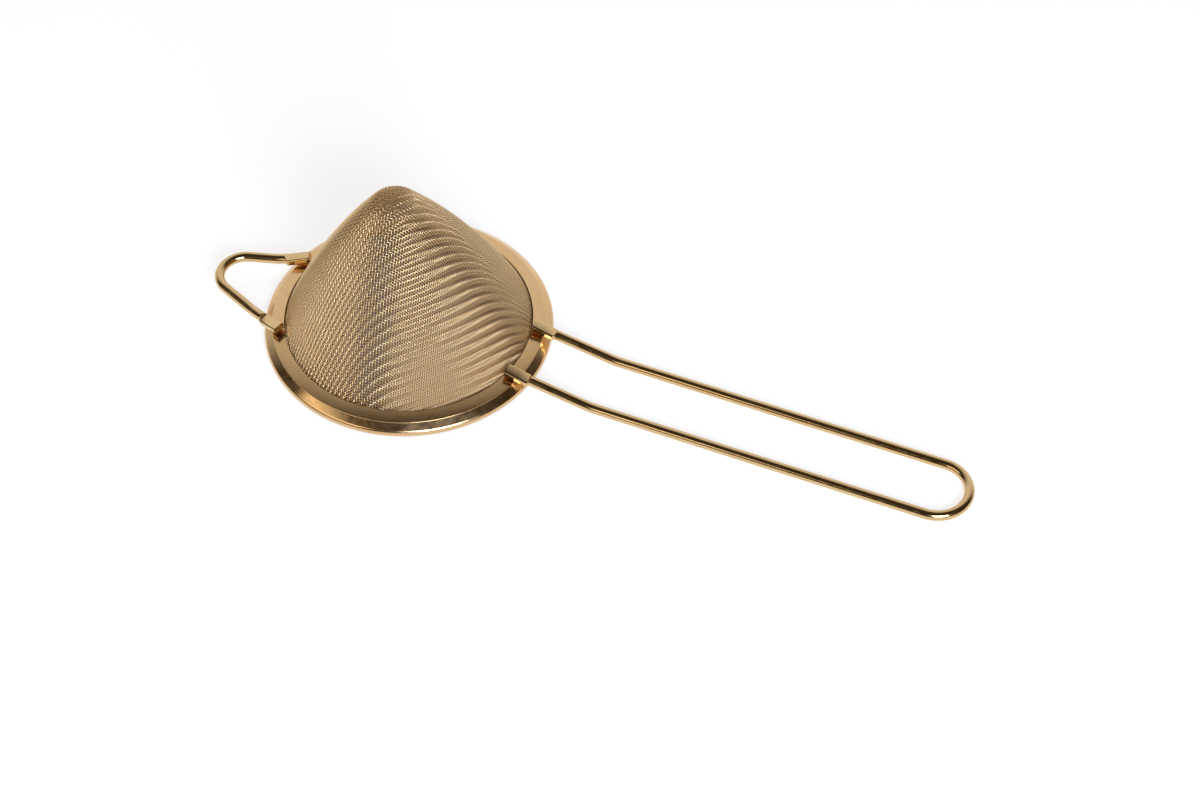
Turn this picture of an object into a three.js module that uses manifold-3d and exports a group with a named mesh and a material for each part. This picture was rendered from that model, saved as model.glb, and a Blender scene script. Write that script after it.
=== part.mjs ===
// A cocktail strainer lying mouth down: a woven cone held in a two-ring rim, a wire handle and a wire rest loop.
// Millimetres, +Z up. The rim's axis is the model's Z axis until the whole part is centred at the end.
import * as THREE from 'three';
import { mergeVertices } from 'three/addons/utils/BufferGeometryUtils.js';
import Module from 'manifold-3d';

const wasm = await Module();
wasm.setup();

const radians = THREE.MathUtils.degToRad;

// Driving dimensions of the rim
const RIM_OUTER_D = 84; // over the rolled bead
const RIM_WIDTH = 5.95; // from the flange's edge, where the cone comes out, to the outside
const RIM_SHEET = 0.5; // sheet of both rings
const RIM_SLOPE = radians(10.7); // both flanges fall outwards by this angle
const BEAD_D = 2; // height of the rolled edge
const BEAD_LAND = 0.6; // flat underside that the rim stands on
const BEAD_CURL = radians(100); // last turn of the curl, past the flat
const HEM_INSET = 0.2; // end of the cover ring, at the middle of the sheet, to the rim's outside
const SKIRT_WIDTH = 2.1; // from the cover ring's bend to its end
const CREST_BEND = 0.9; // bend radius at the middle of the sheet

// Driving dimensions of the cone
const MESH_THICKNESS = 0.5; // pierced sheet that stands for the wire cloth
const CONE_HEIGHT = 48.6; // flange edge to apex
const NOSE_RADIUS = 9.25;
const WALL_RADIUS = 239; // the wall bows outwards on this long arc
const BRIM_BEND = 0.5; // bend radius between wall and brim
const BRIM_MARGIN = 0.5; // brim edge to the cover ring's bend
const CONE_LEAN_X = -2.3; // the formed apex stands this far off the axis
const CONE_LEAN_Y = 0.6;
const NOSE_CAP = 4.5; // closed cloth round the apex, measured along the cloth
const FOOT_BAND = 1.5; // closed cloth above the flange edge
const OPENINGS_AROUND = 24; // openings in one row round the cone
const OPENING_ROWS = 8;
const WIDE_ROWS = 2; // rows next to the apex where two openings join into one
const OPEN_SHARE = 0.64; // of each step, round the cone and down it, that is open

// Driving dimensions of the two wires
const WIRE_D = 3;
const BEND_RUN = 2; // half the length over which a wire bends from sloping to level
const PAD_WIDTH = 3.7; // pressed-flat wire ends
const PAD_THICKNESS = 2.1;
const PAD_CORNER = 0.55;
const PAD_LENGTH = 6.9;
const PAD_OVERLAP = 0.8; // round wire running into its flat end
const PAD_INSET = 0.1; // flange edge to the nearest corner of a flat end
const HANDLE_REACH = 171.8; // rim axis to the handle's tip
const HANDLE_SPACING = 18.9; // between the middles of the handle's two runs
const HANDLE_TAPER = radians(0);
const HANDLE_FLOOR = 0.1; // the level runs clear the table by this much
const LOOP_REACH = 59.8; // rim axis to the loop's tip
const LOOP_SPACING = 26.4; // between the middles of the loop's legs at the flange edge
const LOOP_TAPER = radians(19.8); // each leg leans in by this angle
const LOOP_FLOOR = 3.2; // the loop's level part clears the table by this much
const LOOP_SIDE = 6.7; // the loop's own line passes the rim's axis at this distance
const LOOP_TURN = radians(-3.3); // and is turned by this much from pointing straight away from the handle

// Clearance and smoothness
const CLEARANCE = 0.3; // between neighbouring pieces
const TURN_STEPS = 56;
const BEND_STEPS = 4;
const CURL_STEPS = 6;
const CAP_STEPS = 2;
const OPENING_STEPS = 2; // along each side of an opening
const WIRE_ARC_STEPS = 7; // half a turn of the round section
const WIRE_STEP = 2.8;
const LEG_STEPS = 24;
const TIP_STEPS = 14;
const CORNER_STEPS = 3;

// Heights and radii that follow from them
const rimRadius = RIM_OUTER_D / 2 - RIM_WIDTH;
const slope = Math.tan(RIM_SLOPE);
const wireRadius = WIRE_D / 2;
const curlRadius = (BEAD_D - RIM_SHEET) / 2;
const beadCentre = new THREE.Vector2((RIM_OUTER_D - BEAD_D) / 2, BEAD_D / 2);
const beadTop = pointOnArc(beadCentre, curlRadius, Math.PI / 2 - RIM_SLOPE);
const layerRise = (RIM_SHEET / 2 + CLEARANCE + MESH_THICKNESS / 2) / Math.cos(RIM_SLOPE);
const baseHeight = (r) => beadTop.y + (beadTop.x - r) * slope;
const brimHeight = (r) => baseHeight(r) + layerRise;
const coverHeight = (r) => brimHeight(r) + layerRise;
const halfSheet = RIM_SHEET / 2 / Math.cos(RIM_SLOPE);
const flangeTop = coverHeight(rimRadius) + halfSheet;
const hemRadius = RIM_OUTER_D / 2 - HEM_INSET;
const crestRadius = hemRadius - SKIRT_WIDTH;

function pointOnArc(centre, radius, angle) {
  return new THREE.Vector2(centre.x + radius * Math.cos(angle), centre.y + radius * Math.sin(angle));
}

function arc(centre, radius, from, to, steps) {
  const at = (i) => pointOnArc(centre, radius, from + ((to - from) * i) / steps);
  return Array.from({ length: steps + 1 }, (_, i) => at(i));
}

// Rounds the corner between two straight stretches, from start by corner to end.
function roundedCorner(start, corner, end, radius) {
  const back = start.clone().sub(corner).normalize();
  const on = end.clone().sub(corner).normalize();
  const half = Math.acos(back.dot(on)) / 2;
  const middle = back.clone().add(on).normalize();
  const centre = corner.clone().addScaledVector(middle, radius / Math.sin(half));
  const first = corner.clone().addScaledVector(back, radius / Math.tan(half)).sub(centre).angle();
  const last = corner.clone().addScaledVector(on, radius / Math.tan(half)).sub(centre).angle();
  const sweep = Math.atan2(Math.sin(last - first), Math.cos(last - first));
  return arc(centre, radius, first, first + sweep, BEND_STEPS);
}

// The two sides of a bent sheet, from the path along its middle.
function sheetSides(path, thickness) {
  const offset = (side) =>
    path.map((point, i) => {
      const into = point.clone().sub(path[Math.max(i - 1, 0)]);
      const out = path[Math.min(i + 1, path.length - 1)].clone().sub(point);
      const first = into.lengthSq() > 0 ? into.normalize() : out.clone().normalize();
      const second = out.lengthSq() > 0 ? out.normalize() : first;
      const along = first.clone().add(second).normalize();
      const normal = new THREE.Vector2(-along.y, along.x);
      return point.clone().addScaledVector(normal, (side * thickness) / 2 / along.dot(first));
    });
  return [offset(1), offset(-1)];
}

// Turns a profile of radius and height round the rim's axis.
function turned(profile) {
  const geometry = new THREE.LatheGeometry(profile, TURN_STEPS);
  geometry.rotateX(Math.PI / 2);
  return geometry;
}

function ring(path, thickness) {
  const [left, right] = sheetSides(path, thickness);
  return turned([...right, ...left.reverse(), right[0]]);
}

// The lower ring: a sloping flange whose outer edge is rolled into the bead that the rim stands on.
function rimBaseRing() {
  const innerBead = beadCentre.clone().setX(beadCentre.x - BEAD_LAND);
  const path = [
    new THREE.Vector2(rimRadius, baseHeight(rimRadius)),
    ...arc(beadCentre, curlRadius, Math.PI / 2 - RIM_SLOPE, -Math.PI / 2, 2 * CURL_STEPS),
    ...arc(innerBead, curlRadius, -Math.PI / 2, -Math.PI / 2 - BEAD_CURL, CURL_STEPS),
  ];
  return ring(path, RIM_SHEET);
}

// The upper ring, seen in use from below: a flange over the cone's brim that bends down to its hem over the bead.
function rimCoverRing() {
  const edge = new THREE.Vector2(rimRadius, coverHeight(rimRadius));
  const corner = new THREE.Vector2(crestRadius, coverHeight(crestRadius));
  const hem = new THREE.Vector2(hemRadius, baseHeight(hemRadius) + CLEARANCE + 2 * halfSheet);
  const path = [edge, ...roundedCorner(edge, corner, hem, CREST_BEND), hem];
  return ring(path, RIM_SHEET);
}

// The middle of the cone's cloth: round nose, bowed wall, and a brim that lies between the two rings.
// It also says where the flange edge is along it.
function conePath() {
  const foot = new THREE.Vector2();
  const nose = new THREE.Vector2(0, flangeTop + CONE_HEIGHT - NOSE_RADIUS);
  foot.x = rimRadius - CLEARANCE - MESH_THICKNESS / 2 / Math.cos(RIM_SLOPE);
  foot.y = coverHeight(rimRadius);
  const noseRadius = NOSE_RADIUS - MESH_THICKNESS / 2;
  const wallRadius = WALL_RADIUS - MESH_THICKNESS / 2;
  const toNose = nose.clone().sub(foot);
  const span = toNose.length();
  const reach = wallRadius - noseRadius;
  const turn = Math.acos((wallRadius ** 2 + span ** 2 - reach ** 2) / (2 * wallRadius * span));
  const wallCentre = pointOnArc(foot, wallRadius, toNose.angle() + turn);
  const joinAngle = nose.clone().sub(wallCentre).angle();
  const footAngle = foot.clone().sub(wallCentre).angle();
  const noseLength = noseRadius * (Math.PI / 2 - joinAngle);
  const footLength = noseLength + wallRadius * (joinAngle - footAngle);
  const at = (length) => {
    if (length < noseLength) return pointOnArc(nose, noseRadius, Math.PI / 2 - length / noseRadius);
    return pointOnArc(wallCentre, wallRadius, joinAngle - (length - noseLength) / wallRadius);
  };

  const down = new THREE.Vector2(Math.sin(footAngle), -Math.cos(footAngle));
  const drop = (foot.y - brimHeight(foot.x)) / (-down.y - down.x * slope);
  const corner = foot.clone().addScaledVector(down, drop);
  const brimRadius = crestRadius - BRIM_MARGIN;
  const brimEdge = new THREE.Vector2(brimRadius, brimHeight(brimRadius));
  const brim = [...roundedCorner(foot, corner, brimEdge, BRIM_BEND), brimEdge];
  return { at, brim, footLength, footHeight: foot.y, apexHeight: nose.y + NOSE_RADIUS };
}

// Even steps from one value to another, without the last.
function stepsBetween(from, to, steps) {
  return Array.from({ length: steps }, (_, i) => from + ((to - from) * i) / steps);
}

// The cone's cloth, as a sheet with a plain grid of openings. Rows run down it and columns round it.
function meshCone() {
  const { at, brim, footLength, footHeight, apexHeight } = conePath();
  const rowPitch = (footLength - FOOT_BAND - NOSE_CAP) / (OPENING_ROWS - 1 + OPEN_SHARE);
  const columnPitch = (2 * Math.PI) / OPENINGS_AROUND;
  const lengths = stepsBetween(0, NOSE_CAP, CAP_STEPS);
  const openingOfRow = lengths.map(() => -1);
  for (let i = 0; i < OPENING_ROWS; i += 1) {
    const start = NOSE_CAP + i * rowPitch;
    const end = start + rowPitch * OPEN_SHARE;
    lengths.push(...stepsBetween(start, end, OPENING_STEPS), end);
    openingOfRow.push(...Array(OPENING_STEPS).fill(i), -1);
  }
  const angles = [];
  const closesWideRow = [];
  for (let k = 0; k < OPENINGS_AROUND; k += 1) {
    const start = k * columnPitch;
    const end = start + columnPitch * OPEN_SHARE;
    angles.push(...stepsBetween(start, end, OPENING_STEPS), end);
    closesWideRow.push(...Array(OPENING_STEPS).fill(null), k % 2 === 1);
  }
  const path = [...lengths.map(at), at(footLength), ...brim];
  const columns = angles.length;
  const lastRow = path.length - 1;
  const isOpen = (row, column) => {
    const opening = openingOfRow[row] ?? -1;
    const closes = closesWideRow[(column + columns) % columns];
    return opening >= 0 && (closes === null || (opening < WIDE_ROWS && !closes));
  };

  const [outside, inside] = sheetSides(path, MESH_THICKNESS);
  outside[0].set(0, apexHeight);
  inside[0].set(0, apexHeight - MESH_THICKNESS);
  const rise = apexHeight - footHeight;
  const positions = [outside, inside].flatMap((side) =>
    side.flatMap(({ x, y }) => {
      const share = Math.max(y - footHeight, 0) / rise;
      return angles.flatMap((angle) => [
        x * Math.cos(angle) + CONE_LEAN_X * share,
        x * Math.sin(angle) + CONE_LEAN_Y * share,
        y,
      ]);
    }),
  );

  const outer = (row, column) => row * columns + ((column + columns) % columns);
  const inner = (row, column) => path.length * columns + outer(row, column);
  const triangles = [];
  const addFace = (a, b, c, d) => triangles.push(a, b, c, a, c, d);
  for (let row = 0; row < lastRow; row += 1) {
    for (let column = 0; column < columns; column += 1) {
      if (isOpen(row, column)) continue;
      const corners = [[row, column], [row + 1, column], [row + 1, column + 1], [row, column + 1]];
      addFace(...corners.map((corner) => outer(...corner)));
      addFace(...corners.map((corner) => inner(...corner)).reverse());
      const neighbours = [[row, column - 1], [row + 1, column], [row, column + 1], [row - 1, column]];
      neighbours.forEach((neighbour, side) => {
        if (!isOpen(...neighbour) && neighbour[0] < lastRow) return;
        const from = corners[side];
        const to = corners[(side + 1) % corners.length];
        addFace(outer(...to), outer(...from), inner(...from), inner(...to));
      });
    }
  }
  const geometry = new THREE.BufferGeometry();
  geometry.setAttribute('position', new THREE.Float32BufferAttribute(positions, 3));
  geometry.setIndex(triangles);
  return asGeometry(asSolid(geometry));
}

function asSolid(geometry) {
  const bare = geometry.clone();
  bare.deleteAttribute('normal');
  bare.deleteAttribute('uv');
  const merged = mergeVertices(bare.index ? bare.toNonIndexed() : bare);
  const vertProperties = new Float32Array(merged.getAttribute('position').array);
  const triVerts = new Uint32Array(merged.getIndex().array);
  return new wasm.Manifold(new wasm.Mesh({ numProp: 3, vertProperties, triVerts }));
}

function asGeometry(solid) {
  const mesh = solid.getMesh();
  const geometry = new THREE.BufferGeometry();
  geometry.setAttribute('position', new THREE.BufferAttribute(mesh.vertProperties, mesh.numProp));
  geometry.setIndex(new THREE.BufferAttribute(mesh.triVerts, 1));
  geometry.computeVertexNormals();
  return geometry;
}

function roundSection() {
  const section = new THREE.Shape();
  section.absarc(0, 0, wireRadius, 0, 2 * Math.PI);
  return section;
}

function padSection() {
  const section = new THREE.Shape();
  const x = PAD_WIDTH / 2 - PAD_CORNER;
  const y = PAD_THICKNESS / 2 - PAD_CORNER;
  section.absarc(x, y, PAD_CORNER, 0, Math.PI / 2);
  section.absarc(-x, y, PAD_CORNER, Math.PI / 2, Math.PI);
  section.absarc(-x, -y, PAD_CORNER, Math.PI, 1.5 * Math.PI);
  section.absarc(x, -y, PAD_CORNER, 1.5 * Math.PI, 2 * Math.PI);
  return section;
}

// How far from a point, along a direction, a circle round the rim's axis is crossed.
function distanceToRadius(point, along, radius) {
  const forward = point.dot(along);
  return Math.sqrt(forward ** 2 - point.lengthSq() + radius ** 2) - forward;
}

// One leg of a hairpin: it lies on the flange, runs on down the flange's slope and then turns level.
// base and along are in the wire's own plan, and axis is where the rim's axis lies there.
function hairpinLeg(base, along, axis, level) {
  const fromAxis = base.clone().sub(axis);
  const sideways = new THREE.Vector2(-along.y, along.x);
  const cornerStarts = [1, -1].map((side) => {
    const corner = fromAxis.clone().addScaledVector(sideways, (side * PAD_WIDTH) / 2);
    return distanceToRadius(corner, along, rimRadius + PAD_INSET);
  });
  const padStart = Math.max(...cornerStarts);
  const padMiddle = padStart + PAD_LENGTH / 2;
  const outwards = fromAxis.clone().addScaledVector(along, padMiddle);
  const seat = flangeTop - (outwards.length() - rimRadius) * slope;
  outwards.normalize();

  const fall = slope * outwards.dot(along);
  const start = seat + (CLEARANCE + wireRadius) / Math.cos(RIM_SLOPE);
  const levelFrom = padMiddle + (start - level) / fall;
  const height = (distance) => {
    const past = distance - levelFrom;
    if (past <= -BEND_RUN) return level - past * fall;
    if (past >= BEND_RUN) return level;
    return level + (fall * (BEND_RUN - past) ** 2) / (4 * BEND_RUN);
  };
  const at = (distance) => {
    const plan = base.clone().addScaledVector(along, distance);
    return new THREE.Vector3(plan.x, plan.y, height(distance));
  };
  const tilt = Math.sin(RIM_SLOPE);
  const up = new THREE.Vector3(outwards.x * tilt, outwards.y * tilt, Math.cos(RIM_SLOPE));
  const length = new THREE.Vector3(along.x, along.y, -fall).normalize();
  return { at, padStart, up, length };
}

// The pressed-flat end of a leg, lying on the flange.
function wirePad({ at, padStart, up, length }) {
  const pad = new THREE.ExtrudeGeometry(padSection(), {
    depth: PAD_LENGTH,
    bevelEnabled: false,
    curveSegments: CORNER_STEPS,
  });
  const across = new THREE.Vector3().crossVectors(up, length);
  const seat = at(padStart).addScaledVector(up, (PAD_THICKNESS - WIRE_D) / 2);
  return pad.applyMatrix4(new THREE.Matrix4().makeBasis(across, up, length).setPosition(seat));
}

// A wire bent into a hairpin that points along +X, with both ends pressed flat on the flange.
function hairpinWire({ reach, spacing, taper, level, axis }) {
  const tip = reach - wireRadius;
  const sine = Math.sin(taper);
  const cosine = Math.cos(taper);
  const turnX = (tip - (spacing / 2) * cosine - rimRadius * sine) / (1 - sine);
  const turnRadius = tip - turnX;
  const legLength = (turnX + turnRadius * sine - rimRadius) / cosine;

  const legs = [1, -1].map((side) => {
    const base = new THREE.Vector2(rimRadius, (side * spacing) / 2);
    const along = new THREE.Vector2(cosine, -side * sine);
    return hairpinLeg(base, along, axis, level);
  });
  const legPoints = legs.map(({ at, padStart }) => {
    const first = padStart + PAD_LENGTH - PAD_OVERLAP;
    const share = (legLength - first) / LEG_STEPS;
    return Array.from({ length: LEG_STEPS }, (_, i) => at(first + share * i));
  });
  const half = Math.PI / 2 - taper;
  const turn = arc(new THREE.Vector2(turnX, 0), turnRadius, half, -half, TIP_STEPS);
  const turnPoints = turn.map(({ x, y }) => new THREE.Vector3(x, y, level));
  const path = new THREE.CatmullRomCurve3([...legPoints[0], ...turnPoints, ...legPoints[1].reverse()]);
  const wire = new THREE.ExtrudeGeometry(roundSection(), {
    steps: Math.ceil(path.getLength() / WIRE_STEP),
    extrudePath: path,
    curveSegments: WIRE_ARC_STEPS,
  });
  return asGeometry(legs.reduce((solid, leg) => solid.add(asSolid(wirePad(leg))), asSolid(wire)));
}

function handleWire() {
  return hairpinWire({
    reach: HANDLE_REACH,
    spacing: HANDLE_SPACING,
    taper: HANDLE_TAPER,
    level: wireRadius + HANDLE_FLOOR,
    axis: new THREE.Vector2(0, 0),
  });
}

function restLoopWire() {
  return hairpinWire({
    reach: LOOP_REACH,
    spacing: LOOP_SPACING,
    taper: LOOP_TAPER,
    level: wireRadius + LOOP_FLOOR,
    axis: new THREE.Vector2(0, -LOOP_SIDE),
  });
}

const plated = new THREE.MeshStandardMaterial({ color: 0xc8a063, roughness: 0.22, metalness: 1 });
const woven = new THREE.MeshStandardMaterial({ color: 0xb8935c, roughness: 0.4, metalness: 1 });

function named(name, geometry, material) {
  const mesh = new THREE.Mesh(geometry, material);
  mesh.name = name;
  return mesh;
}

const restLoop = named('rest_loop_wire', restLoopWire(), plated);
restLoop.position.y = LOOP_SIDE;
const loopTurn = new THREE.Group();
loopTurn.rotation.z = Math.PI + LOOP_TURN;
loopTurn.add(restLoop);

const strainer = new THREE.Group();
strainer.add(
  named('rim_base_ring', rimBaseRing(), plated),
  named('mesh_cone', meshCone(), woven),
  named('rim_cover_ring', rimCoverRing(), plated),
  named('handle_wire', handleWire(), plated),
  loopTurn,
);

// The origin is under the middle of the part, on the table.
const bounds = new THREE.Box3().setFromObject(strainer, true);
const middle = bounds.getCenter(new THREE.Vector3());
strainer.position.set(-middle.x, -middle.y, -bounds.min.z);
strainer.updateMatrixWorld(true);

export default strainer;
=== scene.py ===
import math

import bmesh
import bpy
import numpy as np
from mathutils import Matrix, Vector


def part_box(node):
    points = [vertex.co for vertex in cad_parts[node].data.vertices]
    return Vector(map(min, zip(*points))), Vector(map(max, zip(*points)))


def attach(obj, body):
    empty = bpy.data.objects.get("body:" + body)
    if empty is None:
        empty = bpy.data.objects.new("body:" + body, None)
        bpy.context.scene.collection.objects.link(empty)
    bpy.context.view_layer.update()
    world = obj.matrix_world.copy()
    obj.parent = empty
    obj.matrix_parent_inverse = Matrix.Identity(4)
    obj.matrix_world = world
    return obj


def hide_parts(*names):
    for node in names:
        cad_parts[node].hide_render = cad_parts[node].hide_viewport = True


# Looks of the cocktail strainer. Shapes are worked out in millimetres, with the rim's axis as the Z axis,
# and each mesh is moved to the frame and turned into metres when it is made.
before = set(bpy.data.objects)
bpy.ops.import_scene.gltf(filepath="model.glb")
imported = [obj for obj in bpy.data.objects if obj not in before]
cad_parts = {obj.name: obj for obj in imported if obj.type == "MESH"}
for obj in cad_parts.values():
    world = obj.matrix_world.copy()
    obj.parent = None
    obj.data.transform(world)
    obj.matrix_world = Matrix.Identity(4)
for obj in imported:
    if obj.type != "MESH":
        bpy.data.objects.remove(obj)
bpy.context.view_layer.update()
METRES = 0.001
UP = np.array([0, 0, 1.0])
NEAR_ZERO = 1e-9

# Sizes shared with the CAD model
RIM_OUTER_D = 84.0
RIM_WIDTH = 5.95
RIM_SHEET = 0.5
RIM_SLOPE = math.radians(10.7)
BEAD_D = 2.0
BEAD_LAND = 0.6
BEAD_CURL = math.radians(100)
HEM_INSET = 0.2
SKIRT_WIDTH = 2.1
CLOTH_THICKNESS = 0.5
CONE_HEIGHT = 48.6
NOSE_RADIUS = 9.25
WALL_RADIUS = 239.0
BRIM_BEND = 0.5
CONE_LEAN = (-2.3, 0.6)
WIRE_D = 3.0
BEND_RUN = 2.0
PAD_WIDTH = 3.7
PAD_THICKNESS = 2.1
PAD_CORNER = 0.55
PAD_LENGTH = 6.9
PAD_INSET = 0.1
CLEARANCE = 0.3

# The two bent wires: reach from the rim's axis, spacing and taper of the legs, height of the level run over
# the floor, offset to the side of the rim's axis, and turn about that axis
HANDLE = {"reach": 171.8, "spacing": 18.9, "taper": 0.0, "floor": 0.1, "side": 0.0, "turn": 0.0}
LOOP = {
    "reach": 59.8,
    "spacing": 26.4,
    "taper": math.radians(19.8),
    "floor": 3.2,
    "side": 6.7,
    "turn": math.pi + math.radians(-3.3),
}

# Sizes that only the looks have
EDGE_ROUND = 0.1
STEP_DROP = 0.22
STEP_ROUND = 0.18
ROLL_RADIUS = 1.5
LIP_SHEET = 0.3
LIP_END = math.radians(-25)
PAD_BLEND = 0.9
PAD_LIFT = 0.7
PAD_EDGE = 0.08

# Weave. A wire holds its height for a share of the way to the next crossing, and rises by a share of its
# diameter. A wire with too few crossings is left out.
WEAVE_PITCH = 0.84
WEAVE_WIRE_D = 0.32
WEAVE_TURN = math.radians(6.9)
WEAVE_EDGE_RADIUS = 37.6
WEAVE_HOLD = 0.22
WEAVE_LIFT = 0.46
TWILL_REPEAT = 4
FEWEST_CROSSINGS = 3

# Smoothness
TURN_STEPS = 240
ARC_STEPS = 12
EDGE_STEPS = 3
PROFILE_STEPS = 400
WIRE_STEP = 0.9
BEND_STEP = 0.45
PAD_BLEND_STEPS = 6
WEAVE_SIDES = 5
RIM_SHARP = math.radians(50)
WIRE_SHARP = math.radians(45)
# Points round a quarter of a wire's section. They stay off the quarter's ends, where the flat sides begin.
QUARTER_ANGLES = np.radians((0.5, 15, 30, 45, 60, 75, 89.5))

# Search for the weave's crossings: spare crossings and pitches past the cloth's edge, points along a main
# wire, rounds of the search, the longest move in a round, and the step that slopes are measured over
NET_SPARE = 4
EDGE_SPARE = 2
MAIN_WIRE_POINTS = 6000
NET_ROUNDS = 12
NET_MOVE = 0.4
SLOPE_STEP = 1e-3

# Finishes: one colour, or two that the surface drifts between, the range of roughness, the scales per metre
# of the gloss and the grain, and the grain's height in metres
RIM_FINISH = {
    "tones": ((0.66, 0.43, 0.2), (0.7, 0.47, 0.24)),
    "roughness": (0.16, 0.26),
    "gloss_scale": 420,
    "grain_scale": 2600,
    "grain_height": 0.000004,
}
WIRE_FINISH = {
    "tones": ((0.64, 0.44, 0.21), (0.69, 0.49, 0.25)),
    "roughness": (0.1, 0.2),
    "gloss_scale": 420,
    "grain_scale": 3200,
    "grain_height": 0.000004,
}
CLOTH_FINISH = {
    "tones": ((0.79, 0.56, 0.29),),
    "roughness": (0.29, 0.35),
    "gloss_scale": 260,
    "grain_scale": 9000,
    "grain_height": 0.000006,
}
TONE_SCALE = 70
TONE_DETAIL = 3
GLOSS_DETAIL = 4
GRAIN_DETAIL = 2
TONE_STOPS = (0.35, 0.65)
NOISE_SPAN = (0.3, 0.7)

# Camera, from the photograph's perspective. Its place is in metres, its lens and sensor in millimetres.
CAMERA_LENS = 89.0
CAMERA_SENSOR = 36.0
CAMERA_PLACE = (0.21615, -0.51026, 0.64497)
CAMERA_ELEVATION = math.radians(49.67)
CAMERA_AZIMUTH = math.radians(22.55)

# Studio, in metres and watts. A light's azimuth is to the right of the camera's side.
FLOOR_REACH = 6.0
FLOOR_COLOUR = (0.5, 0.5, 0.5)
FLOOR_ROUGHNESS = 0.7
FLOOR_SPECULAR = 0.2
FLOOR_LIFT = 0.72
# Painted shade: the floor inside the rim is given a darker colour for the shadow under the cone.
INSIDE_PAINTED_SHADE = (0.3, 0.3, 0.32)
ROOM_COLOUR = (0.05, 0.035, 0.02)
BACKDROP_COLOUR = (0.93, 0.93, 0.95)
BACKDROP_FADE = (0.28, 0.66)
LIGHT_ELEVATION = math.radians(30)
LIGHT_DISTANCE = 1.1
LEFT_LIGHT = {"azimuth": math.radians(-58), "size": (0.9, 0.45), "power": 2.0, "colour": (1.0, 0.9, 0.77)}
RIGHT_LIGHT = {"azimuth": math.radians(18), "size": (0.6, 0.5), "power": 9.9, "colour": (0.93, 1.02, 1.25)}

rim_low, rim_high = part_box("rim_base_ring")
AXIS = np.array([(rim_low[0] + rim_high[0]) / 2, (rim_low[1] + rim_high[1]) / 2, 0.0])

# Heights and radii that follow from the sizes
rim_radius = RIM_OUTER_D / 2 - RIM_WIDTH
slope = math.tan(RIM_SLOPE)
wire_radius = WIRE_D / 2
curl_radius = (BEAD_D - RIM_SHEET) / 2
bead_centre = np.array([(RIM_OUTER_D - BEAD_D) / 2, BEAD_D / 2])
bead_top = bead_centre + curl_radius * np.array([math.sin(RIM_SLOPE), math.cos(RIM_SLOPE)])
layer_rise = (RIM_SHEET / 2 + CLEARANCE + CLOTH_THICKNESS / 2) / math.cos(RIM_SLOPE)
half_sheet = RIM_SHEET / 2 / math.cos(RIM_SLOPE)
crest_radius = RIM_OUTER_D / 2 - HEM_INSET - SKIRT_WIDTH
roll_centre = np.array([RIM_OUTER_D / 2 - ROLL_RADIUS, ROLL_RADIUS - LIP_SHEET])


def base_height(r):
    return bead_top[1] + (bead_top[0] - r) * slope


def brim_height(r):
    return base_height(r) + layer_rise


def cover_height(r):
    return brim_height(r) + layer_rise


flange_top = cover_height(rim_radius) + half_sheet


def unit(v):
    v = np.asarray(v, dtype=float)
    return v / np.linalg.norm(v)


def length_along(points):
    return np.concatenate([[0], np.cumsum(np.linalg.norm(np.diff(points, axis=0), axis=1))])


def arc(centre, radius, start, end, steps):
    angles = np.linspace(start, end, steps + 1)
    return np.stack([centre[0] + radius * np.cos(angles), centre[1] + radius * np.sin(angles)], axis=1)


def rounded_corner(start, corner, end, radius):
    back = unit(np.subtract(start, corner))
    on = unit(np.subtract(end, corner))
    half = math.acos(float(np.dot(back, on))) / 2
    centre = corner + unit(back + on) * radius / math.sin(half)
    first = corner + back * radius / math.tan(half) - centre
    last = corner + on * radius / math.tan(half) - centre
    first_angle = math.atan2(first[1], first[0])
    sweep = math.atan2(last[1], last[0]) - first_angle
    sweep = math.atan2(math.sin(sweep), math.cos(sweep))
    return arc(centre, radius, first_angle, first_angle + sweep, ARC_STEPS)


def tangent_from(point, centre, radius):
    """Angle round a circle at which a line from a point outside and above it touches its outer side."""
    away = np.subtract(centre, point)
    return math.atan2(away[1], away[0]) + math.asin(radius / np.linalg.norm(away)) + math.pi / 2


def rounded_end(point, out, thickness):
    """Outline round the cut end of a sheet, from its left side to its right."""
    side = np.array([-out[1], out[0]])
    core = point - out * EDGE_ROUND
    inset = side * (thickness / 2 - EDGE_ROUND)
    turns = np.linspace(0, math.pi / 2, EDGE_STEPS + 1)
    left = [core + inset + EDGE_ROUND * (side * math.cos(a) + out * math.sin(a)) for a in turns]
    right = [core - inset - EDGE_ROUND * (side * math.cos(a) - out * math.sin(a)) for a in turns[::-1]]
    return np.array(left + right)


def sheet_outline(path, thickness):
    """Closed outline of a bent sheet with its cut edges rounded, from the path along its middle."""
    path = np.asarray(path, dtype=float)
    steps = np.diff(path, axis=0)
    steps = steps / np.linalg.norm(steps, axis=1, keepdims=True)
    before = np.vstack([steps[:1], steps])
    after = np.vstack([steps, steps[-1:]])
    along = before + after
    along = along / np.linalg.norm(along, axis=1, keepdims=True)
    normal = np.stack([-along[:, 1], along[:, 0]], axis=1)
    reach = thickness / 2 / np.sum(along * before, axis=1, keepdims=True)
    left = path + normal * reach
    right = path - normal * reach
    end = rounded_end(path[-1], steps[-1], thickness)
    start = rounded_end(path[0], -steps[0], thickness)
    return np.vstack([left[1:-1], end, right[-2:0:-1], start])


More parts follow.
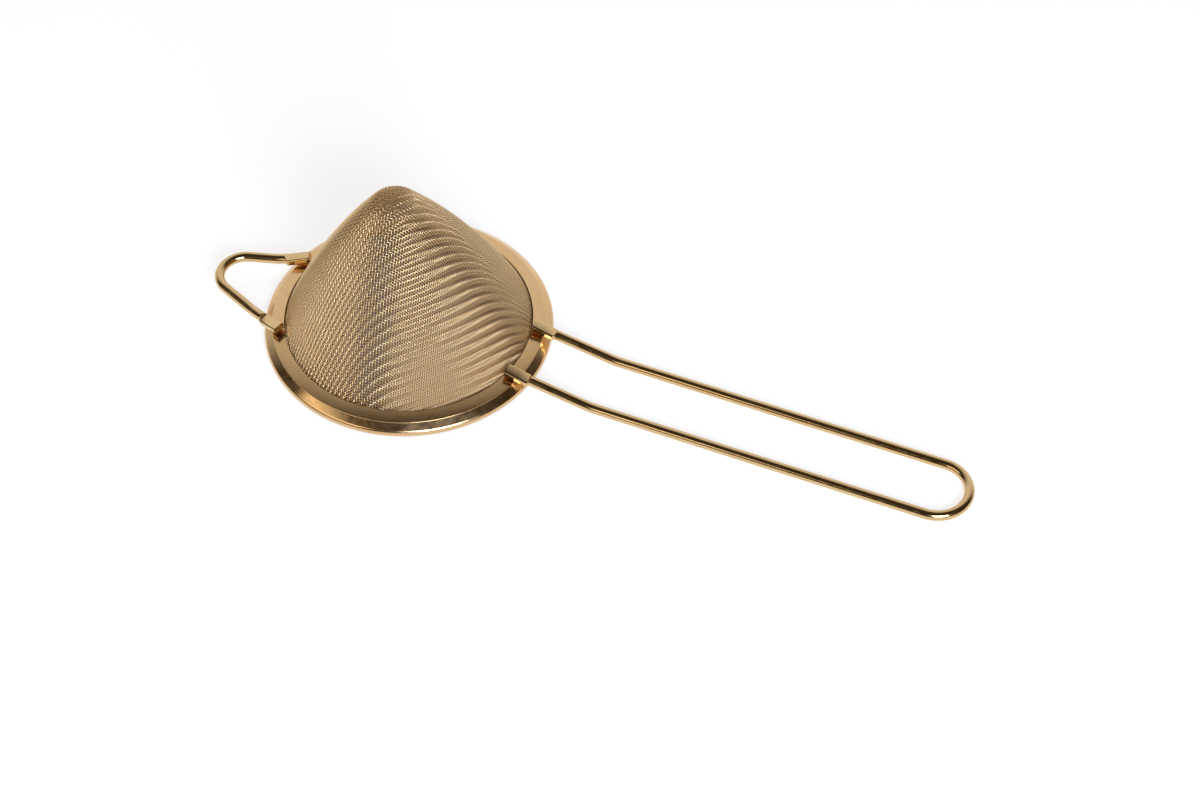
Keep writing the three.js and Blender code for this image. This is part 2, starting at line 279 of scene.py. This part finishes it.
def make_mesh(name, verts, loops, totals):
    """A mesh in the frame, from vertices in millimetres about the rim's axis and faces as flat lists."""
    mesh = bpy.data.meshes.new(name)
    mesh.vertices.add(len(verts))
    mesh.vertices.foreach_set("co", (np.asarray(verts) * METRES + AXIS).ravel())
    mesh.loops.add(len(loops))
    mesh.loops.foreach_set("vertex_index", np.asarray(loops, dtype=np.int32))
    mesh.polygons.add(len(totals))
    totals = np.asarray(totals, dtype=np.int32)
    starts = np.concatenate([[0], np.cumsum(totals)[:-1]]).astype(np.int32)
    mesh.polygons.foreach_set("loop_start", starts)
    mesh.polygons.foreach_set("loop_total", totals)
    mesh.polygons.foreach_set("use_smooth", np.ones(len(totals), dtype=bool))
    mesh.update(calc_edges=True)
    mesh.validate()
    return mesh


def face_outward(mesh, sharp_angle):
    """Turns all faces outward and keeps the edges past an angle sharp."""
    work = bmesh.new()
    work.from_mesh(mesh)
    bmesh.ops.recalc_face_normals(work, faces=work.faces)
    work.to_mesh(mesh)
    work.free()
    mesh.set_sharp_from_angle(angle=sharp_angle)
    return mesh


def tube_faces(count, sides):
    """Faces of a tube of rings with its two ends closed, as flat lists."""
    k, a = np.meshgrid(np.arange(count - 1), np.arange(sides), indexing="ij")
    a_next = (a + 1) % sides
    here, ahead = k * sides, (k + 1) * sides
    quads = np.stack([here + a, here + a_next, ahead + a_next, ahead + a], axis=-1).reshape(-1)
    first_end = np.arange(sides)[::-1]
    last_end = (count - 1) * sides + np.arange(sides)
    loops = np.concatenate([quads, first_end, last_end])
    totals = np.concatenate([np.full(len(quads) // 4, 4), [sides, sides]])
    return loops, totals


def turned_mesh(name, outline):
    """A closed outline of radius and height, turned round the rim's axis."""
    angles = np.linspace(0, 2 * math.pi, TURN_STEPS, endpoint=False)
    count = len(outline)
    radius = np.tile(outline[:, 0], TURN_STEPS)
    height = np.tile(outline[:, 1], TURN_STEPS)
    turn = np.repeat(angles, count)
    verts = np.stack([radius * np.cos(turn), radius * np.sin(turn), height], axis=1)
    k, i = np.meshgrid(np.arange(TURN_STEPS), np.arange(count), indexing="ij")
    here, ahead = k * count, (k + 1) % TURN_STEPS * count
    i_next = (i + 1) % count
    quads = np.stack([here + i, ahead + i, ahead + i_next, here + i_next], axis=-1).reshape(-1, 4)
    mesh = make_mesh(name, verts, quads.ravel(), np.full(len(quads), 4))
    return face_outward(mesh, RIM_SHARP)


def add_piece(name, mesh, material, node):
    mesh.materials.append(material)
    piece = bpy.data.objects.new(name, mesh)
    bpy.context.scene.collection.objects.link(piece)
    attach(piece, "root")
    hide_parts(node)


def rim_base_outline():
    """Flange under the cloth whose outer edge is rolled into the bead that the rim stands on."""
    curl = ROLL_RADIUS - LIP_SHEET - RIM_SHEET / 2
    edge = np.array([rim_radius, base_height(rim_radius)])
    path = np.vstack([
        [edge],
        arc(roll_centre, curl, tangent_from(edge, roll_centre, curl), -math.pi / 2, 2 * ARC_STEPS),
        arc(roll_centre - [BEAD_LAND, 0], curl, -math.pi / 2, -math.pi / 2 - BEAD_CURL, ARC_STEPS),
    ])
    return sheet_outline(path, RIM_SHEET)


def rim_cover_outline():
    """Flange over the cloth, a small step down at its crest, and a lip rolled down round the bead."""
    top_edge = np.array([rim_radius, flange_top])
    crest = np.array([crest_radius, flange_top - (crest_radius - rim_radius) * slope])
    sheet = np.array([0, 2 * half_sheet])
    ledge = crest - [0, STEP_DROP]
    touch = tangent_from(ledge, roll_centre, ROLL_RADIUS)
    lip = arc(roll_centre, ROLL_RADIUS, touch, LIP_END, 2 * ARC_STEPS)
    inside = arc(roll_centre, ROLL_RADIUS - LIP_SHEET, LIP_END, touch, 2 * ARC_STEPS)
    return np.vstack([
        rounded_corner(top_edge - sheet, top_edge, crest, EDGE_ROUND),
        rounded_corner(top_edge, crest, ledge, STEP_ROUND),
        [ledge],
        lip,
        inside,
        [crest - sheet],
        rounded_corner(crest - sheet, top_edge - sheet, top_edge, EDGE_ROUND),
    ])


def cone_profile():
    """Middle of the cone's cloth from the apex to the brim, as radius, height and length along it."""
    foot = np.array([
        rim_radius - CLEARANCE - CLOTH_THICKNESS / 2 / math.cos(RIM_SLOPE),
        cover_height(rim_radius),
    ])
    nose = np.array([0.0, flange_top + CONE_HEIGHT - NOSE_RADIUS])
    nose_radius = NOSE_RADIUS - CLOTH_THICKNESS / 2
    wall_radius = WALL_RADIUS - CLOTH_THICKNESS / 2
    to_nose = nose - foot
    span = np.linalg.norm(to_nose)
    reach = wall_radius - nose_radius
    turn = math.acos((wall_radius**2 + span**2 - reach**2) / (2 * wall_radius * span))
    lean = math.atan2(to_nose[1], to_nose[0]) + turn
    wall_centre = foot + wall_radius * np.array([math.cos(lean), math.sin(lean)])
    join = nose - wall_centre
    join_angle = math.atan2(join[1], join[0])
    bottom = foot - wall_centre
    foot_angle = math.atan2(bottom[1], bottom[0])
    down = np.array([math.sin(foot_angle), -math.cos(foot_angle)])
    drop = (foot[1] - brim_height(foot[0])) / (-down[1] - down[0] * slope)
    corner = foot + down * drop
    brim_edge = np.array([crest_radius, brim_height(crest_radius)])
    path = np.vstack([
        arc(nose, nose_radius, math.pi / 2, join_angle, PROFILE_STEPS),
        arc(wall_centre, wall_radius, join_angle, foot_angle, PROFILE_STEPS)[1:],
        rounded_corner(foot, corner, brim_edge, BRIM_BEND),
        [brim_edge],
    ])
    path[0, 0] = 0.0
    return path[:, 0], path[:, 1], length_along(path), foot[1]


profile_r, profile_z, profile_s, foot_height = cone_profile()
cone_rise = profile_z[0] - foot_height
edge_length = float(np.interp(WEAVE_EDGE_RADIUS, profile_r, profile_s))


def cloth_point(uv):
    """Where a point of the flat pattern lies on the cone. Its distance from the middle is kept."""
    s = np.hypot(uv[..., 0], uv[..., 1])
    r = np.interp(s, profile_s, profile_r)
    z = np.interp(s, profile_s, profile_z)
    ratio = np.where(s > NEAR_ZERO, r / np.maximum(s, NEAR_ZERO), 1.0)
    share = np.maximum(z - foot_height, 0) / cone_rise
    return np.stack([
        uv[..., 0] * ratio + CONE_LEAN[0] * share,
        uv[..., 1] * ratio + CONE_LEAN[1] * share,
        z,
    ], axis=-1)


def cloth_slopes(uv):
    east, north = (
        (cloth_point(uv + step) - cloth_point(uv - step)) / (2 * SLOPE_STEP)
        for step in np.eye(2) * SLOPE_STEP
    )
    return east, north


def cloth_normal(uv):
    normal = np.cross(*cloth_slopes(uv))
    return normal / np.linalg.norm(normal, axis=-1, keepdims=True)


def lay_main_wires(net, reach, limit):
    """Crossings along the two wires through the apex, which are straight in the flat pattern."""
    fine = np.linspace(0, limit, MAIN_WIRE_POINTS)
    for turn, (step_i, step_j) in enumerate([(1, 0), (0, 1), (-1, 0), (0, -1)]):
        angle = WEAVE_TURN + turn * math.pi / 2
        heading = np.array([math.cos(angle), math.sin(angle)])
        length = length_along(cloth_point(fine[:, None] * heading))
        at = np.interp(np.arange(reach + 1) * WEAVE_PITCH, length, fine, right=np.nan)
        for k in range(reach + 1):
            net[reach + step_i * k, reach + step_j * k] = at[k] * heading


def next_crossings(a, b, c):
    """Crossings one pitch from both a and b, on the far side from c, by Newton's method."""
    place_a, place_b = cloth_point(a), cloth_point(b)
    uv = a + b - c
    for _ in range(NET_ROUNDS):
        here = cloth_point(uv)
        east, north = cloth_slopes(uv)
        offsets = (here - place_a, here - place_b)
        error = np.stack([(off**2).sum(1) - WEAVE_PITCH**2 for off in offsets], axis=1)
        rows = [np.stack([(off * east).sum(1), (off * north).sum(1)], axis=1) for off in offsets]
        jacobian = 2 * np.stack(rows, axis=1)
        move = np.linalg.solve(jacobian + NEAR_ZERO * np.eye(2), error[:, :, None])[:, :, 0]
        distance = np.linalg.norm(move, axis=1, keepdims=True)
        uv = uv - move * np.minimum(1, NET_MOVE / np.maximum(distance, NEAR_ZERO))
    return uv


def woven_net():
    """Crossings of a square weave laid over the cone: every wire keeps its length between crossings, so the
    squares lean over between the two main wires that cross at the apex."""
    reach = int(edge_length / WEAVE_PITCH) + NET_SPARE
    limit = edge_length + EDGE_SPARE * WEAVE_PITCH
    net = np.full((2 * reach + 1, 2 * reach + 1, 2), np.nan)
    lay_main_wires(net, reach, limit)
    for side_i, side_j in ((1, 1), (1, -1), (-1, 1), (-1, -1)):
        for total in range(2, 2 * reach + 1):
            i = np.arange(max(1, total - reach), min(reach, total - 1) + 1)
            here_i = reach + side_i * i
            here_j = reach + side_j * (total - i)
            a = net[here_i - side_i, here_j]
            b = net[here_i, here_j - side_j]
            c = net[here_i - side_i, here_j - side_j]
            known = ~np.isnan(a + b + c).any(axis=1)
            if not known.any():
                break
            uv = next_crossings(a[known], b[known], c[known])
            uv[np.hypot(uv[:, 0], uv[:, 1]) > limit] = np.nan
            net[here_i[known], here_j[known]] = uv
    return net, reach


def weave_wire(row, number, is_warp):
    """Flat-pattern line of one wire and whether it lies over or under there. The weave is a twill: each
    wire goes over two and under two, and the pattern shifts by one crossing from wire to wire."""
    s = np.hypot(row[:, 0], row[:, 1])
    inside = np.flatnonzero(s <= edge_length)
    if len(inside) < FEWEST_CROSSINGS:
        return None
    uv = []
    lift = []
    for k in range(inside[0], inside[-1] + 1):
        diagonal = (k - number if is_warp else number - k) % TWILL_REPEAT
        side = 1 if (diagonal < TWILL_REPEAT / 2) == is_warp else -1
        before = row[k - 1] if not np.isnan(row[k - 1]).any() else row[k]
        after = row[k + 1] if not np.isnan(row[k + 1]).any() else row[k]
        uv += [row[k] + (before - row[k]) * WEAVE_HOLD, row[k] + (after - row[k]) * WEAVE_HOLD]
        lift += [side, side]
    return np.array(uv), np.array(lift)


def wire_tubes(wires):
    """Closed tubes with few sides along many lines at once."""
    verts, loops, totals = [], [], []
    offset = 0
    angles = np.arange(WEAVE_SIDES) * 2 * math.pi / WEAVE_SIDES
    for uv, lift in wires:
        normal = cloth_normal(uv)
        line = cloth_point(uv) + normal * (lift * WEAVE_WIRE_D * WEAVE_LIFT)[:, None]
        tangent = np.gradient(line, axis=0)
        tangent /= np.linalg.norm(tangent, axis=1, keepdims=True)
        across = np.cross(tangent, normal)
        across /= np.linalg.norm(across, axis=1, keepdims=True)
        up = np.cross(across, tangent)
        spokes = up[:, None] * np.cos(angles)[:, None] + across[:, None] * np.sin(angles)[:, None]
        verts.append((line[:, None] + WEAVE_WIRE_D / 2 * spokes).reshape(-1, 3))
        wire_loops, wire_totals = tube_faces(len(line), WEAVE_SIDES)
        loops.append(wire_loops + offset)
        totals.append(wire_totals)
        offset += len(line) * WEAVE_SIDES
    return np.vstack(verts), np.concatenate(loops), np.concatenate(totals)


def add_cloth(material):
    """The woven cone, as four pieces: two halves of the wires in each direction."""
    net, reach = woven_net()
    rows = range(1, 2 * reach)
    warp = [weave_wire(net[:, j], j, True) for j in rows]
    weft = [weave_wire(net[i, :], i, False) for i in rows]
    for name, wires in (("warp", warp), ("weft", weft)):
        wires = [wire for wire in wires if wire is not None]
        half = len(wires) // 2
        for part, some in (("first", wires[:half]), ("second", wires[half:])):
            title = f"cone_{name}_wires_{part}_half"
            add_piece(title, make_mesh(title, *wire_tubes(some)), material, "mesh_cone")


def distance_to_radius(point, along, radius):
    forward = float(np.dot(point, along))
    return math.sqrt(forward**2 - float(np.dot(point, point)) + radius**2) - forward


def hairpin_leg(base, along, axis, level):
    """One leg of a hairpin, in the wire's own plan: on the flange, down its slope, then level."""
    from_axis = base - axis
    sideways = np.array([-along[1], along[0]])
    pad_start = max(
        distance_to_radius(from_axis + side * sideways * PAD_WIDTH / 2, along, rim_radius + PAD_INSET)
        for side in (1, -1)
    )
    pad_middle = pad_start + PAD_LENGTH / 2
    outwards = from_axis + along * pad_middle
    seat = flange_top - (np.linalg.norm(outwards) - rim_radius) * slope
    outwards = unit(outwards)
    fall = slope * float(np.dot(outwards, along))
    start = seat + (CLEARANCE + wire_radius) / math.cos(RIM_SLOPE)
    level_from = pad_middle + (start - level) / fall

    def height(distance):
        past = distance - level_from
        if past <= -BEND_RUN:
            return level - past * fall
        if past >= BEND_RUN:
            return level
        return level + fall * (BEND_RUN - past) ** 2 / (4 * BEND_RUN)

    def at(distance):
        lift = PAD_LIFT * max(pad_start + PAD_LENGTH - distance, 0) / PAD_LENGTH
        return np.array([*(base + along * distance), height(distance) + lift])

    up = np.array([*(outwards * math.sin(RIM_SLOPE)), math.cos(RIM_SLOPE)])
    return at, pad_start, up


def leg_stations(at, pad_start, up, leg_length):
    """Stations along a leg from its pressed end: the place, the way up there and how flat the wire is."""
    pad_end = pad_start + PAD_LENGTH
    stops = np.concatenate([
        pad_start + np.array([0, PAD_EDGE, PAD_LENGTH / 2]),
        np.linspace(pad_end - PAD_BLEND / 2, pad_end + PAD_BLEND / 2, PAD_BLEND_STEPS + 1),
        np.linspace(pad_end + PAD_BLEND, leg_length, int((leg_length - pad_end) / WIRE_STEP))[:-1],
    ])
    stations = []
    for stop in stops:
        share = min(max((pad_end + PAD_BLEND / 2 - stop) / PAD_BLEND, 0), 1)
        flat = share * share * (3 - 2 * share)
        stations.append((at(stop), unit(up * flat + UP * (1 - flat)), flat))
    return stations


def hairpin_stations(size):
    """Stations along a whole hairpin: out along one leg, round the bend and back along the other."""
    axis = np.array([0.0, -size["side"]])
    level = wire_radius + size["floor"]
    tip = size["reach"] - wire_radius
    sine, cosine = math.sin(size["taper"]), math.cos(size["taper"])
    turn_x = (tip - size["spacing"] / 2 * cosine - rim_radius * sine) / (1 - sine)
    turn_radius = tip - turn_x
    leg_length = (turn_x + turn_radius * sine - rim_radius) / cosine
    legs = []
    for side in (1, -1):
        base = np.array([rim_radius, side * size["spacing"] / 2])
        at, pad_start, up = hairpin_leg(base, np.array([cosine, -side * sine]), axis, level)
        legs.append(leg_stations(at, pad_start, up, leg_length))
    half = math.pi / 2 - size["taper"]
    bend = arc((turn_x, 0), turn_radius, half, -half, int(2 * half * turn_radius / BEND_STEP))
    turn = [(np.array([x, y, level]), UP, 0.0) for x, y in bend]
    return legs[0] + turn + legs[1][::-1]


def wire_section(flat):
    """Section of the wire, from round at 0 to pressed flat at 1, as steps across and up."""
    angles = np.concatenate([QUARTER_ANGLES + turn * math.pi / 2 for turn in range(4)])
    round_across = wire_radius * np.cos(angles)
    round_up = wire_radius * np.sin(angles)
    half_width = PAD_WIDTH / 2 - PAD_CORNER
    half_height = PAD_THICKNESS / 2 - PAD_CORNER
    flat_across = np.sign(np.cos(angles)) * half_width + PAD_CORNER * np.cos(angles)
    flat_up = np.sign(np.sin(angles)) * half_height + PAD_CORNER * np.sin(angles)
    flat_up = flat_up + (PAD_THICKNESS - WIRE_D) / 2
    return round_across + (flat_across - round_across) * flat, round_up + (flat_up - round_up) * flat


def hairpin_mesh(name, size):
    """A wire bent into a hairpin, its two ends pressed flat, swept along its middle line."""
    stations = hairpin_stations(size)
    line = np.array([station[0] for station in stations])
    tangent = np.gradient(line, axis=0)
    tangent /= np.linalg.norm(tangent, axis=1, keepdims=True)
    rings = []
    for (place, up, flat), ahead in zip(stations, tangent):
        across = unit(np.cross(up, ahead))
        over = np.cross(ahead, across)
        step_across, step_up = wire_section(flat)
        rings.append(place + step_across[:, None] * across + step_up[:, None] * over)
    x, y, z = np.moveaxis(np.array(rings), -1, 0)
    y = y + size["side"]
    cosine, sine = math.cos(size["turn"]), math.sin(size["turn"])
    rings = np.stack([x * cosine - y * sine, x * sine + y * cosine, z], axis=-1)
    mesh = make_mesh(name, rings.reshape(-1, 3), *tube_faces(*rings.shape[:2]))
    return face_outward(mesh, WIRE_SHARP)


def new_material(name):
    material = bpy.data.materials.new(name)
    material.use_nodes = True
    nodes = material.node_tree.nodes
    return material, nodes, material.node_tree.links, nodes["Principled BSDF"]


def noise(nodes, links, coordinates, scale, detail):
    texture = nodes.new("ShaderNodeTexNoise")
    texture.inputs["Scale"].default_value = scale
    texture.inputs["Detail"].default_value = detail
    links.new(coordinates, texture.inputs["Vector"])
    return texture.outputs["Fac"]


def ranged(nodes, links, value, low, high, span=NOISE_SPAN):
    step = nodes.new("ShaderNodeMapRange")
    step.inputs["From Min"].default_value = span[0]
    step.inputs["From Max"].default_value = span[1]
    step.inputs["To Min"].default_value = low
    step.inputs["To Max"].default_value = high
    links.new(value, step.inputs["Value"])
    return step.outputs["Result"]


def tinted(nodes, links, value, tones):
    ramp = nodes.new("ShaderNodeValToRGB")
    for element, stop, tone in zip(ramp.color_ramp.elements, TONE_STOPS, tones):
        element.position = stop
        element.color = (*tone, 1)
    links.new(value, ramp.inputs["Fac"])
    return ramp.outputs["Color"]


def bumped(nodes, links, value, shader, distance):
    bump = nodes.new("ShaderNodeBump")
    bump.inputs["Distance"].default_value = distance
    bump.inputs["Strength"].default_value = 1.0
    links.new(value, bump.inputs["Height"])
    links.new(bump.outputs["Normal"], shader.inputs["Normal"])


def mixed(nodes, links, factor, first, second):
    mix = nodes.new("ShaderNodeMix")
    mix.data_type = "RGBA"
    links.new(factor, mix.inputs["Factor"])
    mix.inputs["A"].default_value = (*first, 1)
    mix.inputs["B"].default_value = (*second, 1)
    return mix.outputs["Result"]


def math_node(nodes, links, operation, first, second):
    step = nodes.new("ShaderNodeMath")
    step.operation = operation
    for socket, value in zip(step.inputs, (first, second)):
        if isinstance(value, (int, float)):
            socket.default_value = value
        else:
            links.new(value, socket)
    return step.outputs["Value"]


def metal_material(name, finish):
    """Gold-toned metal with slightly uneven gloss and surface. With two tones, its colour is uneven too."""
    material, nodes, links, shader = new_material(name)
    place = nodes.new("ShaderNodeTexCoord").outputs["Object"]
    shader.inputs["Metallic"].default_value = 1.0
    tones = finish["tones"]
    if len(tones) == 1:
        shader.inputs["Base Color"].default_value = (*tones[0], 1)
    else:
        drift = noise(nodes, links, place, TONE_SCALE, TONE_DETAIL)
        links.new(tinted(nodes, links, drift, tones), shader.inputs["Base Color"])
    cloud = noise(nodes, links, place, finish["gloss_scale"], GLOSS_DETAIL)
    links.new(ranged(nodes, links, cloud, *finish["roughness"]), shader.inputs["Roughness"])
    grain = noise(nodes, links, place, finish["grain_scale"], GRAIN_DETAIL)
    bumped(nodes, links, grain, shader, finish["grain_height"])
    return material


def floor_material():
    """White table that takes shadows, with painted shade inside the mouth: a darker disc under the cone.
    Seen directly, mirrored or through something clear, it is lifted to white outside the rim."""
    material, nodes, links, shader = new_material("white_table")
    shader.inputs["Roughness"].default_value = FLOOR_ROUGHNESS
    shader.inputs["Specular IOR Level"].default_value = FLOOR_SPECULAR
    ray = nodes.new("ShaderNodeLightPath")
    seen = math_node(nodes, links, "MAXIMUM", ray.outputs["Is Camera Ray"], ray.outputs["Is Glossy Ray"])
    seen = math_node(nodes, links, "MAXIMUM", seen, ray.outputs["Is Transmission Ray"])
    distance = nodes.new("ShaderNodeVectorMath")
    distance.operation = "DISTANCE"
    links.new(nodes.new("ShaderNodeTexCoord").outputs["Object"], distance.inputs[0])
    distance.inputs[1].default_value = tuple(AXIS)
    rim = RIM_OUTER_D / 2 * METRES
    outside = ranged(nodes, links, distance.outputs["Value"], 0.0, 1.0, (rim - BEAD_D * METRES, rim))
    # Painted shade: inside the rim the floor takes the darker colour, under the cone.
    tone = mixed(nodes, links, outside, INSIDE_PAINTED_SHADE, FLOOR_COLOUR)
    links.new(tone, shader.inputs["Base Color"])
    emission = nodes.new("ShaderNodeEmission")
    lift = math_node(nodes, links, "MULTIPLY", seen, outside)
    links.new(math_node(nodes, links, "MULTIPLY", lift, FLOOR_LIFT), emission.inputs["Strength"])
    both = nodes.new("ShaderNodeAddShader")
    links.new(shader.outputs["BSDF"], both.inputs[0])
    links.new(emission.outputs["Emission"], both.inputs[1])
    links.new(both.outputs["Shader"], nodes["Material Output"].inputs["Surface"])
    return material


def add_floor():
    signs = ((-1, -1), (1, -1), (1, 1), (-1, 1))
    corners = [(x * FLOOR_REACH, y * FLOOR_REACH, 0) for x, y in signs]
    mesh = bpy.data.meshes.new("floor")
    mesh.from_pydata(corners, [], [(0, 1, 2, 3)])
    mesh.materials.append(floor_material())
    floor = bpy.data.objects.new("floor", mesh)
    bpy.context.scene.collection.objects.link(floor)


def add_world():
    """A pale backdrop behind the strainer that fades to a dim warm room above it and on the camera's side.
    Seen directly, it is pale all round."""
    world = bpy.data.worlds.new("studio")
    bpy.context.scene.world = world
    world.use_nodes = True
    nodes, links = world.node_tree.nodes, world.node_tree.links
    behind = nodes.new("ShaderNodeVectorMath")
    behind.operation = "DOT_PRODUCT"
    links.new(nodes.new("ShaderNodeTexCoord").outputs["Generated"], behind.inputs[0])
    behind.inputs[1].default_value = (-math.sin(CAMERA_AZIMUTH), math.cos(CAMERA_AZIMUTH), 0)
    pale = ranged(nodes, links, behind.outputs["Value"], 0.0, 1.0, BACKDROP_FADE)
    seen = nodes.new("ShaderNodeLightPath").outputs["Is Camera Ray"]
    factor = math_node(nodes, links, "MAXIMUM", pale, seen)
    colour = mixed(nodes, links, factor, ROOM_COLOUR, BACKDROP_COLOUR)
    links.new(colour, nodes["Background"].inputs["Color"])


def add_light(name, light):
    """A soft rectangular light that looks at the frame's origin."""
    heading = CAMERA_AZIMUTH + light["azimuth"] - math.pi / 2
    lamp = bpy.data.lights.new(name, "AREA")
    lamp.shape = "RECTANGLE"
    lamp.size, lamp.size_y = light["size"]
    lamp.energy = light["power"]
    lamp.color = light["colour"]
    softbox = bpy.data.objects.new(name, lamp)
    bpy.context.scene.collection.objects.link(softbox)
    flat = LIGHT_DISTANCE * math.cos(LIGHT_ELEVATION)
    height = LIGHT_DISTANCE * math.sin(LIGHT_ELEVATION)
    softbox.location = (flat * math.cos(heading), flat * math.sin(heading), height)
    softbox.rotation_euler = (math.pi / 2 - LIGHT_ELEVATION, 0, heading + math.pi / 2)


def add_camera():
    camera = bpy.data.objects.new("camera", bpy.data.cameras.new("camera"))
    bpy.context.scene.collection.objects.link(camera)
    camera.data.sensor_width = CAMERA_SENSOR
    camera.data.lens = CAMERA_LENS
    camera.location = CAMERA_PLACE
    camera.rotation_euler = (math.pi / 2 - CAMERA_ELEVATION, 0, CAMERA_AZIMUTH)
    bpy.context.scene.camera = camera


# The strainer's pieces
rim_metal = metal_material("gold_rim_sheet", RIM_FINISH)
wire_metal = metal_material("gold_round_wire", WIRE_FINISH)
cloth_metal = metal_material("gold_wire_cloth", CLOTH_FINISH)
lower_ring = turned_mesh("rim_lower_ring", rim_base_outline())
upper_ring = turned_mesh("rim_upper_ring", rim_cover_outline())
add_piece("rim_lower_ring", lower_ring, rim_metal, "rim_base_ring")
add_piece("rim_upper_ring", upper_ring, rim_metal, "rim_cover_ring")
add_piece("handle", hairpin_mesh("handle", HANDLE), wire_metal, "handle_wire")
add_piece("rest_loop", hairpin_mesh("rest_loop", LOOP), wire_metal, "rest_loop_wire")
add_cloth(cloth_metal)

# The studio
add_floor()
add_world()
add_light("left_softbox", LEFT_LIGHT)
add_light("right_softbox", RIGHT_LIGHT)
add_camera()
bpy.context.scene.view_settings.view_transform = "Standard"
